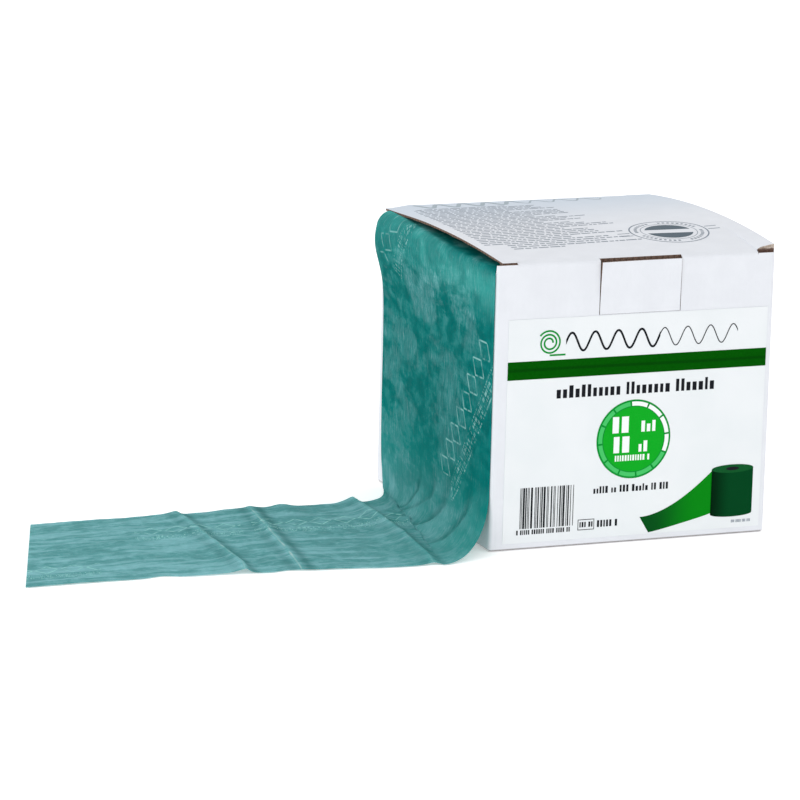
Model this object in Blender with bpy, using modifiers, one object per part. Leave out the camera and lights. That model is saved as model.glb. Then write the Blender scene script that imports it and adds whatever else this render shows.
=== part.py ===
"""A wide latex resistance band that is wound on a core and pulled out of its dispenser carton.

The origin is the middle of the carton's underside. +Z is up, the labelled front faces -Y and the band
leaves over the carton's left wall, towards -X, hangs down that wall and runs out along the floor.
"""

import math

import bmesh
import bpy
from mathutils import Matrix, Vector

# Carton
WIDTH = 0.1346            # along X, outside
DEPTH = 0.138             # along Y, outside
HEIGHT = 0.1291           # floor to the lid's crease
BOARD = 0.0015            # fine-flute corrugated board
GAP = 0.0003              # play between neighbouring pieces
LEFT, RIGHT = -WIDTH / 2, WIDTH / 2
FRONT, BACK = -DEPTH / 2, DEPTH / 2
SIDE_TOP = HEIGHT - 0.0028        # the side walls stop lower, so the band can pass under the lid

# Lid and the flaps under it
LID_LEFT = LEFT + 0.0033
LID_RIGHT = RIGHT - 0.0006
LID_BACK = BACK - BOARD - GAP
SLIT_LEFT = LEFT + 0.0101         # the crease runs from here ...
SLIT_RIGHT = RIGHT - 0.0086       # ... to here, and each end is cut free
LEFT_ARCH = (0.0, 0.0030, 0.0020, 0.50)    # rise at the front, at most, at the back, and where it peaks
RIGHT_ARCH = (0.0028, 0.0063, 0.0020, 0.47)
TUCK_LENGTH = 0.018
TUCK_LEAN = 0.0026                # how far the tucked edge leans into the carton
DUST_LENGTH = 0.028
DUST_TAPER = 0.004

# Tab cut out of the front wall, hinged along its lower edge
TAB_LEFT, TAB_RIGHT = -0.0180, 0.0214
TAB_BOTTOM = 0.1044
TAB_PROUD = 0.0006                # its free edge stands this far in front of the wall

# Label
LABEL_LEFT, LABEL_RIGHT = -0.0610, 0.0644
LABEL_BOTTOM, LABEL_TOP = 0.0031, 0.1052
LABEL_THICKNESS = 0.00015
LABEL_GAP = 0.00005

# Bottom closure
BOTTOM_FLAP = 0.040
BOTTOM_TUCK = 0.020
GLUE_WIDTH = 0.022

# Roll of band on its core, lying with its axis along Y
BAND_WIDTH = 0.128
BAND_THICKNESS = 0.00025
ROLL_RADIUS = 0.061
CORE_RADIUS = 0.0185
CORE_WALL = 0.0025
CORE_LENGTH = 0.1285
ROLL_Y = -0.0022
ROLL_Z = BOARD + GAP + ROLL_RADIUS

# Free stretch of band
OFF_WALL = GAP + BAND_THICKNESS   # the band's outer face stands this far off the wall
EDGE_RADIUS = 0.0010              # bend over the wall's top edge
NEAR_FOOT, FAR_FOOT = 0.0235, 0.0040   # bend from the wall on to the floor, at the nearer and farther edge
BULGE = 0.0050                    # how far the farther edge puffs off the wall, below the lid
BULGE_Z, BULGE_REACH = 0.1155, 0.0150
LEAD_END_X = LEFT + 0.004
RUN_END_X = -0.185
END_NEAR_X = -0.2800
END_FAR_X = -0.2480
DROP_EDGES = (-0.0682, 0.0608)    # nearer and farther edge on the wall
FLOOR_EDGES = (-0.0840, 0.0305)   # and where it meets the floor
TIP_EDGES = (-0.0703, 0.0305)     # and at its cut end


def material(name, colour, roughness, metallic=0.0):
    mat = bpy.data.materials.new(name)
    mat.use_nodes = True
    shader = mat.node_tree.nodes["Principled BSDF"]
    shader.inputs["Base Color"].default_value = (*colour, 1.0)
    shader.inputs["Roughness"].default_value = roughness
    shader.inputs["Metallic"].default_value = metallic
    return mat


def add(name, mesh, mat):
    """Links a mesh as a named object of the model."""
    obj = bpy.data.objects.new(name, mesh)
    mesh.materials.append(mat)
    MODEL.objects.link(obj)
    return obj


def box_mesh(name, low, high):
    bm = bmesh.new()
    size = Vector(high) - Vector(low)
    middle = (Vector(high) + Vector(low)) / 2
    matrix = Matrix.Translation(middle) @ Matrix.Diagonal((*size, 1.0))
    bmesh.ops.create_cube(bm, size=1.0, matrix=matrix)
    mesh = bpy.data.meshes.new(name)
    bm.to_mesh(mesh)
    bm.free()
    return mesh


def board(name, low, high, mat):
    """A flat rectangle of board from its lowest to its highest corner."""
    return add(name, box_mesh(name, low, high), mat)


def sheet(name, surface, columns, rows, thickness, side, mat):
    """A curved sheet. surface(u, v), for u and v from 0 to 1, is its outer face, whose normal is u across v.

    side is 1 where the thickness goes along that normal and -1 where it goes against it.
    """
    bm = bmesh.new()
    bmesh.ops.create_grid(bm, x_segments=columns, y_segments=rows, size=0.5)
    for vert in bm.verts:
        vert.co = surface(vert.co.x + 0.5, vert.co.y + 0.5)
    mesh = bpy.data.meshes.new(name)
    bm.to_mesh(mesh)
    bm.free()
    obj = add(name, mesh, mat)
    solid = obj.modifiers.new("thickness", "SOLIDIFY")
    solid.thickness = thickness
    solid.offset = side
    solid.use_even_offset = True
    return obj


def cut(obj, cutter_mesh):
    """Cuts a hidden cutter out of obj."""
    cutter = bpy.data.objects.new(cutter_mesh.name, cutter_mesh)
    CUTTERS.objects.link(cutter)
    cutter.hide_render = True
    cutter.display_type = "WIRE"
    boolean = obj.modifiers.new("cut", "BOOLEAN")
    boolean.operation = "DIFFERENCE"
    boolean.solver = "EXACT"
    boolean.object = cutter


def set_origin(obj, point):
    """Moves an object's origin to a point on its joint's axis, leaving its shape in place."""
    point = Vector(point)
    obj.data.transform(Matrix.Translation(-point))
    obj.location = point


def mix(a, b, t):
    return a + (b - a) * t


def ease(t):
    t = min(max(t, 0.0), 1.0)
    return t * t * (3.0 - 2.0 * t)


def arch(t, start, peak, end, peak_at):
    """Two half parabolas that meet at the peak."""
    side, span = (start, peak_at) if t < peak_at else (end, 1.0 - peak_at)
    return peak - (peak - side) * ((t - peak_at) / span) ** 2


def lid_rise(x, y):
    """How far the bowed lid stands above its crease's height."""
    along = (y - FRONT) / (LID_BACK - FRONT)
    across = (x - LID_LEFT) / (LID_RIGHT - LID_LEFT)
    _, left_peak, left_back, left_at = LEFT_ARCH
    corner, right_peak, right_back, right_at = RIGHT_ARCH
    free = min(max((x - SLIT_RIGHT) / (LID_RIGHT - SLIT_RIGHT), 0.0), 1.0)
    left = arch(along, 0.0, left_peak, left_back, left_at)
    right = arch(along, corner * free, right_peak, right_back, right_at)
    return mix(left, right, across**1.5)


def carton_walls(white):
    """Front, back and side walls, each a straight board between the fold lines."""
    inner_front = FRONT + BOARD + GAP
    inner_back = BACK - BOARD - GAP
    low = BOARD + GAP
    front = board("front_panel", (LEFT, FRONT, low), (RIGHT, FRONT + BOARD, HEIGHT - BOARD - GAP), white)
    notch = box_mesh(
        "tab_opening",
        (TAB_LEFT, FRONT - BOARD, TAB_BOTTOM),
        (TAB_RIGHT, FRONT + 2 * BOARD, HEIGHT + BOARD),
    )
    cut(front, notch)
    board("back_panel", (LEFT, BACK - BOARD, low), (RIGHT, BACK, HEIGHT - GAP), white)
    board("left_panel", (LEFT, inner_front, low), (LEFT + BOARD, inner_back, SIDE_TOP), white)
    board("right_panel", (RIGHT - BOARD, inner_front, low), (RIGHT, inner_back, SIDE_TOP), white)
    glue_right = RIGHT - BOARD - GAP
    board(
        "glue_flap",
        (glue_right - BOARD, BACK - BOARD - GAP - GLUE_WIDTH, low + BOARD + GAP),
        (glue_right, BACK - BOARD - GAP, SIDE_TOP - 2 * BOARD - DUST_LENGTH),
        white,
    )


def carton_bottom(white, kraft):
    """The bottom panel, the two flaps that it lies under, and its tuck flap inside the back wall."""
    board("bottom_panel", (LEFT, FRONT, 0.0), (RIGHT, BACK, BOARD), white)
    low, high = BOARD + GAP, 2 * BOARD + GAP
    near, far = FRONT + BOARD + 2 * GAP, BACK - 2 * BOARD - 3 * GAP
    inner_left, inner_right = LEFT + BOARD + GAP, RIGHT - BOARD - GAP
    board("bottom_left_flap", (inner_left, near, low), (inner_left + BOTTOM_FLAP, far, high), kraft)
    board("bottom_right_flap", (inner_right - BOTTOM_FLAP, near, low), (inner_right, far, high), kraft)
    tuck_back = BACK - BOARD - GAP
    board(
        "bottom_tuck_flap",
        (SLIT_LEFT, tuck_back - BOARD, low),
        (SLIT_RIGHT, tuck_back, low + BOTTOM_TUCK),
        kraft,
    )


def lid(white):
    """The bowed lid. Its origin is on the crease along the front wall's top edge."""

    def top(u, v):
        x = mix(LID_LEFT, LID_RIGHT, u)
        y = mix(FRONT, LID_BACK, v)
        return Vector((x, y, HEIGHT + lid_rise(x, y)))

    panel = sheet("lid_panel", top, 26, 18, BOARD, -1, white)
    set_origin(panel, (0.0, FRONT, HEIGHT))


def lid_tuck_flap(white):
    """The flap that the lid's back edge tucks behind the back wall, leaning in towards its free edge."""
    hinge_z = HEIGHT - BOARD

    def outer(u, v):
        x = mix(SLIT_LEFT - v * DUST_TAPER / 2 + DUST_TAPER, SLIT_RIGHT + v * DUST_TAPER / 2 - DUST_TAPER, u)
        root = HEIGHT + lid_rise(x, LID_BACK) - BOARD - GAP
        return Vector((x, LID_BACK - TUCK_LEAN * (1 - v), mix(hinge_z - TUCK_LENGTH, root, v)))

    flap = sheet("lid_tuck_flap", outer, 12, 1, BOARD, 1, white)
    set_origin(flap, (0.0, LID_BACK, hinge_z))


def dust_flap(name, side, kraft):
    """A flap folded in from a side wall's top edge. side is -1 on the left and 1 on the right."""
    hinge_x = side * (WIDTH / 2 - BOARD - GAP)
    tip_x = hinge_x - side * DUST_LENGTH
    near, far = FRONT + BOARD + 2 * GAP, LID_BACK - 2 * BOARD
    outline = [(hinge_x, near), (tip_x, near + DUST_TAPER), (tip_x, far - DUST_TAPER), (hinge_x, far)]
    curve = bpy.data.curves.new(name, "CURVE")
    curve.dimensions = "2D"
    curve.fill_mode = "BOTH"
    curve.extrude = BOARD / 2
    spline = curve.splines.new("POLY")
    spline.points.add(len(outline) - 1)
    for point, (x, y) in zip(spline.points, outline):
        point.co = (x - hinge_x, y, BOARD / 2, 1.0)
    spline.use_cyclic_u = True
    flap = bpy.data.objects.new(name, curve)
    curve.materials.append(kraft)
    MODEL.objects.link(flap)
    flap.location = (hinge_x, 0.0, SIDE_TOP - BOARD)


def lock_tab(white):
    """The tab in the front wall, a little proud at its free edge. Its origin is on its hinge crease."""
    low = (TAB_LEFT + GAP, 0.0, GAP + 0.0001)
    high = (TAB_RIGHT - GAP, BOARD, HEIGHT - BOARD - GAP - TAB_BOTTOM)
    tab = board("lock_tab", low, high, white)
    tab.location = (0.0, FRONT, TAB_BOTTOM)
    tab.rotation_euler.x = math.asin(TAB_PROUD / high[2])


def front_label(paper):
    """The printed sticker on the front wall."""
    back_y = FRONT - LABEL_GAP
    board(
        "front_label",
        (LABEL_LEFT, back_y - LABEL_THICKNESS, LABEL_BOTTOM),
        (LABEL_RIGHT, back_y, min(LABEL_TOP, TAB_BOTTOM - GAP)),
        paper,
    )


def ring(name, outer, inner, length, segments, mat):
    """A tube along Y round the roll's axis, turned from its wall's section."""
    corners = [(outer, 1), (outer, -1), (inner, -1), (inner, 1)]
    bm = bmesh.new()
    verts = [bm.verts.new((radius, 0.0, half * length / 2)) for radius, half in corners]
    for i in range(len(verts)):
        bm.edges.new((verts[i], verts[(i + 1) % len(verts)]))
    mesh = bpy.data.meshes.new(name)
    bm.to_mesh(mesh)
    bm.free()
    obj = add(name, mesh, mat)
    screw = obj.modifiers.new("turn", "SCREW")
    screw.steps = segments
    screw.render_steps = segments
    screw.use_merge_vertices = True
    screw.merge_threshold = 0.00001
    obj.rotation_euler.x = math.pi / 2
    obj.location = (0.0, ROLL_Y, ROLL_Z)
    return obj


def roll(latex, pulp):
    ring("roll_core", CORE_RADIUS, CORE_RADIUS - CORE_WALL, CORE_LENGTH, 48, pulp)
    ring("band_roll", ROLL_RADIUS, CORE_RADIUS + GAP, BAND_WIDTH, 96, latex)


def pieces_path(pieces):
    """Joins (length, point function) pieces end to end into one path of t from 0 to 1."""
    total = sum(length for length, _ in pieces)

    def path(t):
        left = t * total
        for length, point in pieces:
            if left <= length:
                return point(left / length)
            left -= length
        return pieces[-1][1](1.0)

    return path


def straight(a, b):
    length = math.dist(a, b)
    return length, lambda t: (mix(a[0], b[0], t), mix(a[1], b[1], t))


def bend(centre, radius, start, end):
    """An arc from one angle to another, in degrees from +X towards +Z."""
    a, b = math.radians(start), math.radians(end)

    def point(t):
        angle = mix(a, b, t)
        return centre[0] + radius * math.cos(angle), centre[1] + radius * math.sin(angle)

    return radius * abs(b - a), point


def band_lead(latex):
    """From the top of the roll, up over the left dust flap, to the wall's top edge."""
    top = SIDE_TOP + OFF_WALL
    flap_tip = (LEFT + BOARD + GAP + DUST_LENGTH + 0.001, top)
    off_roll = ROLL_RADIUS + OFF_WALL
    reach = math.hypot(flap_tip[0], flap_tip[1] - ROLL_Z)
    angle = math.atan2(flap_tip[1] - ROLL_Z, flap_tip[0]) - math.acos(off_roll / reach)
    leave = (off_roll * math.cos(angle), ROLL_Z + off_roll * math.sin(angle))
    path = pieces_path([straight(leave, flap_tip), straight(flap_tip, (LEAD_END_X, top))])
    near = ROLL_Y - BAND_WIDTH / 2

    def outer(u, v):
        x, z = path(u)
        return Vector((x, near + v * BAND_WIDTH, z))

    sheet("band_lead", outer, 24, 4, BAND_THICKNESS, 1, latex)


def foot_radius(v):
    """The bend's radius at the foot of the wall, across the band from its nearer to its farther edge."""
    return mix(NEAR_FOOT, FAR_FOOT, v)


def drop_path(v):
    """Over the wall's top edge, down the wall and round on to the floor."""
    top = SIDE_TOP + OFF_WALL
    face = LEFT - OFF_WALL
    foot = foot_radius(v)
    floor = BAND_THICKNESS
    pieces = [
        straight((LEAD_END_X - GAP, top), (face + EDGE_RADIUS, top)),
        bend((face + EDGE_RADIUS, top - EDGE_RADIUS), EDGE_RADIUS, 90, 180),
        straight((face, top - EDGE_RADIUS), (face, floor + foot)),
        bend((face - foot, floor + foot), foot, 0, -90),
    ]
    return pieces_path(pieces)


def drop_edges(t):
    """The two edges' Y along the drop: from the roll's width, along the wall, in to the floor's width."""
    on_edge = 0.05
    on_wall = 0.80
    lead = (ROLL_Y - BAND_WIDTH / 2, ROLL_Y + BAND_WIDTH / 2)
    if t < on_edge:
        return tuple(mix(a, b, ease(t / on_edge)) for a, b in zip(lead, DROP_EDGES))
    low = ease((t - on_wall) / (1.0 - on_wall))
    return tuple(mix(a, b, low) for a, b in zip(DROP_EDGES, FLOOR_EDGES))


def band_drop(latex):
    def outer(u, v):
        x, z = drop_path(v)(u)
        near, far = drop_edges(u)
        puff = BULGE * ease(v) ** 2 * math.exp(-(((z - BULGE_Z) / BULGE_REACH) ** 2))
        if x < LEFT:
            x -= puff
        return Vector((x, mix(near, far, v), z))

    sheet("band_drop", outer, 72, 10, BAND_THICKNESS, 1, latex)


def run_start(v):
    return LEFT - OFF_WALL - foot_radius(v) - GAP


def floor_point(x, v):
    """A point of the band on the floor, v of the way from its nearer to its farther edge."""
    along = (x - run_start(v)) / (END_NEAR_X - run_start(v))
    near, far = (mix(a, b, along) for a, b in zip(FLOOR_EDGES, TIP_EDGES))
    return Vector((x, mix(near, far, v), BAND_THICKNESS))


def band_floor(latex):
    """The stretch along the floor, and the free end with its slanting cut."""

    def run(u, v):
        return floor_point(mix(run_start(v), RUN_END_X, u), v)

    def free_end(u, v):
        return floor_point(mix(RUN_END_X - GAP, mix(END_NEAR_X, END_FAR_X, v), u), v)

    sheet("band_run", run, 12, 8, BAND_THICKNESS, 1, latex)
    sheet("band_end", free_end, 12, 4, BAND_THICKNESS, 1, latex)


def clear_scene():
    for obj in list(bpy.data.objects):
        bpy.data.objects.remove(obj, do_unlink=True)


def collection(name):
    made = bpy.data.collections.new(name)
    bpy.context.scene.collection.children.link(made)
    return made


clear_scene()
MODEL = collection("resistance_band_dispenser")
CUTTERS = collection("cutters")
CUTTERS.hide_render = True

WHITE_BOARD = material("white_board", (0.80, 0.83, 0.86), 0.55)
KRAFT_BOARD = material("kraft_board", (0.42, 0.31, 0.21), 0.85)
LABEL_PAPER = material("label_paper", (0.88, 0.90, 0.91), 0.35)
CORE_PULP = material("core_pulp", (0.45, 0.36, 0.27), 0.90)
LATEX = material("green_latex", (0.03, 0.30, 0.26), 0.50)

carton_walls(WHITE_BOARD)
carton_bottom(WHITE_BOARD, KRAFT_BOARD)
lid(WHITE_BOARD)
lid_tuck_flap(WHITE_BOARD)
dust_flap("left_dust_flap", -1, KRAFT_BOARD)
dust_flap("right_dust_flap", 1, KRAFT_BOARD)
lock_tab(WHITE_BOARD)
front_label(LABEL_PAPER)
roll(LATEX, CORE_PULP)
band_lead(LATEX)
band_drop(LATEX)
band_floor(LATEX)
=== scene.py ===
"""The looks of a resistance band in its dispenser carton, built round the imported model.

Everything is in metres in the model's own frame: +Z is up, the labelled front faces -Y, and the band
leaves over the carton's left wall towards -X, hangs down that wall and runs out along the floor.
"""

import math
import random

import bpy
import numpy as np
from mathutils import Matrix, Vector, noise


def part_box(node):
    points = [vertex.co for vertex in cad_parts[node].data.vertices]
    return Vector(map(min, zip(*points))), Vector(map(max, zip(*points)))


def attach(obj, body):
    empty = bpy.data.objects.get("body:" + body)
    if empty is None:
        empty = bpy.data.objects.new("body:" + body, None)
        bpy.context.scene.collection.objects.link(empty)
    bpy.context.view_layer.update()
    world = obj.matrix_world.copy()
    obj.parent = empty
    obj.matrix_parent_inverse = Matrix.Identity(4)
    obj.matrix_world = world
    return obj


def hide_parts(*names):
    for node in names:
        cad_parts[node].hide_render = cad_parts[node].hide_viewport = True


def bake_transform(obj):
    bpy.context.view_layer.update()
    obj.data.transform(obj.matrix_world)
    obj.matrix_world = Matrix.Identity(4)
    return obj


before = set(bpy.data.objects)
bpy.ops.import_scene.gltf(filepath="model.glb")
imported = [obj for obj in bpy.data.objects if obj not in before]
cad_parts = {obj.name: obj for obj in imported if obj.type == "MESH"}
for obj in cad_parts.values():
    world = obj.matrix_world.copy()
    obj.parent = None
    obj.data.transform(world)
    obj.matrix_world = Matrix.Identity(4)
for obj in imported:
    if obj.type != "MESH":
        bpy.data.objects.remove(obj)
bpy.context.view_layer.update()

# Places read from the frame
LEFT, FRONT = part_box("front_panel")[0].x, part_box("front_panel")[0].y
RIGHT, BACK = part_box("back_panel")[1].x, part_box("back_panel")[1].y
BACK_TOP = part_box("back_panel")[1].z
SIDE_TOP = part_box("left_panel")[1].z
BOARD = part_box("bottom_panel")[1].z
GAP = 0.0003
HEIGHT = BACK_TOP + GAP
LID_LEFT, LID_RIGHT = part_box("lid_panel")[0].x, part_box("lid_panel")[1].x
LID_BACK = BACK - BOARD - GAP
TAB_LEFT, TAB_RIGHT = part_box("lock_tab")[0].x - GAP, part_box("lock_tab")[1].x + GAP
TAB_BOTTOM = 0.1044
LABEL_LOW, LABEL_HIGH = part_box("front_label")
LABEL_FACE = LABEL_LOW.y
TUCK_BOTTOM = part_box("lid_tuck_flap")[0].z

# Folds of the board, as radii outside, and its cuts
SLIT_LEFT, SLIT_RIGHT = LEFT + 0.0101, RIGHT - 0.0086     # where the lid's crease is cut free
TUCK_LEFT, TUCK_RIGHT = SLIT_LEFT + 0.003, SLIT_RIGHT - 0.003
CORNER = 0.0017           # the walls' upright folds
CREASE = 0.0014           # the lid's folds
DUST_FOLD = 0.0012
FOOT_FOLD = 0.0015        # where the walls turn in to the bottom
INNER_FOLD = 0.0001       # any fold's radius on the inner liner
FOLD_STEPS = 6
STEP = 0.00004            # width of a straight cut's end in a grid
CLEAR = 0.0002            # play where one board slides inside another
FLUTE = 0.0029            # from one flute of the board to the next

# The lid
LID_SKEW = 0.0025         # how much further out its left margin reaches at the back
LID_DROOP = 0.0012        # how far its back left corner is bent down
SLIT_SHOWS, TAB_SHOWS = 0.0005, 0.0010     # how much of its raw edge shows over the wall and the tab
FREE_FRONT = 0.003        # its flat front margin where it is cut free
TEAR = 0.010              # how far its torn right corner reaches back
LEFT_ARCH = (0.0, 0.0030, 0.0020, 0.50)     # its rise in front, at the peak and behind, and the peak's place
RIGHT_ARCH = (0.0028, 0.0063, 0.0020, 0.47)
TUCK_LEAN, TUCK_TAPER = 0.0026, 0.006
DUST_TAPER = 0.004

# The band
BAND = 0.128
BAND_THICKNESS = 0.00025
ROLL_RADIUS = 0.061
ROLL_Y, ROLL_Z = -0.0022, 0.0628
OFF_WALL = GAP + BAND_THICKNESS
EDGE_RADIUS, FAR_EDGE_RADIUS = 0.0026, 0.0040   # bend over the wall's top edge
EDGE_ARCH = 0.0026        # how much higher the band passes over it at its farther edge
NEAR_FOOT, FAR_FOOT = 0.0270, 0.0040        # bend from the wall on to the floor, at the two edges
BULGE, BULGE_Z, BULGE_REACH = 0.0050, 0.1175, 0.0150
RUN_END = -0.185          # where the strip on the floor is parted into its two bodies
END_NEAR, END_FAR = -0.2800, -0.2480
ROLL_EDGES = (ROLL_Y - BAND / 2, ROLL_Y + BAND / 2)
DROP_EDGES = (-0.0682, 0.0608)
FLOOR_EDGES = (-0.0842, 0.0298)
TIP_EDGES = (-0.0700, 0.0298)
FOOT_FAR, GATHER = 0.0475, 0.0050  # the farther edge where it meets the floor, and how soon it gathers in
SPREAD_END = -0.245       # where the nearer edge has come in from the foot
STRIP_LENGTH = 0.46       # from the roll to the cut end, for the texture map
FLOOR_AT = 0.225          # the texture map's distance where the band reaches the floor
BAND_ROWS = 112
END_TUCK = 0.0012         # how much the farther edge comes in at the foot of the wall
CORE_WALL, CORE_BEVEL = 0.0025, 0.0003

# Creases across the band on the floor: their crest's X at the nearer edge, middle and farther edge, their
# height there, how far they fall away on the carton's side and on the tip's, and how hard the talc is rubbed
# and the painted highlight and painted shade are laid along and beside the crest.
CREASES = (
    ((-0.1822, -0.1800, -0.1794), (0.0039, 0.0022, 0.0017), 0.0020, 0.0060, 0.62),
    ((-0.1570, -0.1506, -0.1440), (0.0006, 0.0019, 0.0012), 0.0040, 0.0026, 0.80),
    ((-0.0985, -0.0948, -0.0940), (0.0016, 0.0032, 0.0028), 0.0020, 0.0048, 0.45),
)
# Folds at the bend: place across the band, swing per metre on the floor, width, height, reach up the wall.
FOLDS = (
    (0.14, 5.0, 0.0060, 0.0018, 0.022),
    (0.30, 9.0, 0.0078, 0.0026, 0.034),
    (0.47, 12.0, 0.0050, 0.0018, 0.026),
    (0.60, 10.0, 0.0034, 0.0009, 0.018),
)
# strength of the rubbed talc and painted highlight on the folds' crests, and of the painted shade in their
# grooves
FOLD_WEAR_AND_SHADE = 0.24
# Small swerves of the band's edges on the floor: X, how far towards +Y, and reach.
NEAR_SWERVES = (
    (-0.2185, 0.0026, 0.0065),
    (-0.163, 0.0016, 0.007),
    (-0.0985, 0.0012, 0.005),
    (-0.171, -0.0010, 0.005),
    (-0.119, -0.0010, 0.012),
)
FAR_SWERVES = ((-0.153, 0.0022, 0.009), (-0.086, -0.0014, 0.006), (-0.220, 0.0008, 0.02))
# Ornament printed on the band: distance along and across, turn in degrees, length and strength.
BAND_PRINTS = (
    (0.088, 0.112, 24.0, 0.030, 0.55),
    (0.150, 0.029, 31.0, 0.090, 0.75),
    (0.262, 0.094, 1.0, 0.075, 1.0),
    (0.330, 0.094, 1.0, 0.050, 0.95),
    (0.405, 0.030, 2.0, 0.060, 1.0),
)

# Print
PRINT_LIFT = 0.00003      # ink stands this far off what it is printed on
PRINT_FILM = 0.00003
OVER, OVER_AGAIN = 2.4 * PRINT_LIFT, 3.8 * PRINT_LIFT     # lifts of ink on ink
INK_GLOSS = 0.02          # the room is white all round, so glossier ink would wash out
STRIPE_MIDDLE, STRIPE_HALF = 0.0812, 0.0041
WAVE_START = -0.0335
SEAL_CENTRE = (0.0312, -0.0330)

# The room
FLOOR_GLOW = 0.33
SKY_SIDE, SKY_TOP = 0.74, 1.02
WORLD_TINT = (0.985, 0.992, 1.0)
KEY_POWER, SIDE_POWER = 0.9, 6.5

# ---------------------------------------------------------------------------------------- numbers


def mix(a, b, t):
    return a + (b - a) * t


def spaced(a, b, steps):
    """The numbers at the ends of equal steps from a to b."""
    return [mix(a, b, i / steps) for i in range(steps + 1)]


def ease(t):
    """0 up to 0, 1 from 1 on, and smooth between them."""
    t = min(max(t, 0.0), 1.0)
    return t * t * (3.0 - 2.0 * t)


def bell(distance, width):
    """1 in the middle of a bell curve, and falling off to both sides."""
    return math.exp(-((distance / width) ** 2))


def uneven(x, y, z):
    """Smooth random ups and downs, from -1 to 1."""
    return noise.noise(Vector((x, y, z)))


def round_fold(start, end):
    """The cosine and sine at each step round a fold, between two angles in degrees."""
    return [(math.cos(a), math.sin(a)) for a in map(math.radians, spaced(start, end, FOLD_STEPS))]


def srgb(*screen):
    """A screen colour's red, green and blue, from 0 to 255, as the linear colour that a shader takes."""
    return tuple(((c / 255 + 0.055) / 1.055) ** 2.4 if c > 10 else c / 255 / 12.92 for c in screen)


def arch(t, start, peak, end, peak_at):
    """Two half parabolas that meet at the peak."""
    side, span = (start, peak_at) if t < peak_at else (end, 1.0 - peak_at)
    return peak - (peak - side) * ((t - peak_at) / span) ** 2


def lid_rise(x, y):
    """How far the bowed lid stands above its crease's height."""
    along = (y - FRONT) / (LID_BACK - FRONT)
    across = max((x - LID_LEFT) / (LID_RIGHT - LID_LEFT), 0.0)
    _, left_peak, left_back, left_at = LEFT_ARCH
    corner, right_peak, right_back, right_at = RIGHT_ARCH
    free = min(max((x - SLIT_RIGHT) / (LID_RIGHT - SLIT_RIGHT), 0.0), 1.0) ** 0.35
    left = arch(along, 0.0, left_peak, left_back, left_at)
    right = arch(along, corner * free, right_peak, right_back, right_at)
    droop = LID_DROOP * ease((LID_LEFT + 0.010 - x) / 0.010) * ease((along - 0.6) / 0.4)
    return mix(left, right, across**1.5) - droop


def lid_skew(x, y):
    """The lid's X with its left margin reaching further out towards the back."""
    margin = min(max((SLIT_LEFT - x) / (SLIT_LEFT - LID_LEFT), 0.0), 1.0)
    return x - LID_SKEW * margin * (y - FRONT) / (LID_BACK - FRONT)


# -------------------------------------------------------------------------------------- materials


def math_node(operation):
    """A method of Value that adds one Math node."""
    return lambda *terms: terms[0].op(operation, *terms)


class Value:
    """A number worked out by a material's nodes. The usual operators add the nodes that they need."""

    __add__, __sub__, __mul__, __abs__ = map(math_node, ("ADD", "SUBTRACT", "MULTIPLY", "ABSOLUTE"))
    fraction, floor, sine, root = map(math_node, ("FRACT", "FLOOR", "SINE", "SQRT"))
    most, under, over, arc_tangent = map(math_node, ("MAXIMUM", "LESS_THAN", "GREATER_THAN", "ARCTAN2"))

    def __init__(self, tree, source):
        self.tree, self.source = tree, source

    def op(self, operation, *terms):
        """A Math node over terms that are each a Value or a number."""
        made = self.tree.nodes.new("ShaderNodeMath")
        made.operation = operation
        for place, term in zip(made.inputs, terms):
            if isinstance(term, Value):
                self.tree.links.new(term.source, place)
            else:
                place.default_value = term
        return Value(self.tree, made.outputs[0])

    def ramp(self, low, high):
        """0 up to low, 1 from high on, and smooth between them."""
        made = self.tree.nodes.new("ShaderNodeMapRange")
        made.interpolation_type = "SMOOTHSTEP"
        self.tree.links.new(self.source, made.inputs["Value"])
        made.inputs["From Min"].default_value = low
        made.inputs["From Max"].default_value = high
        return Value(self.tree, made.outputs["Result"])


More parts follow.
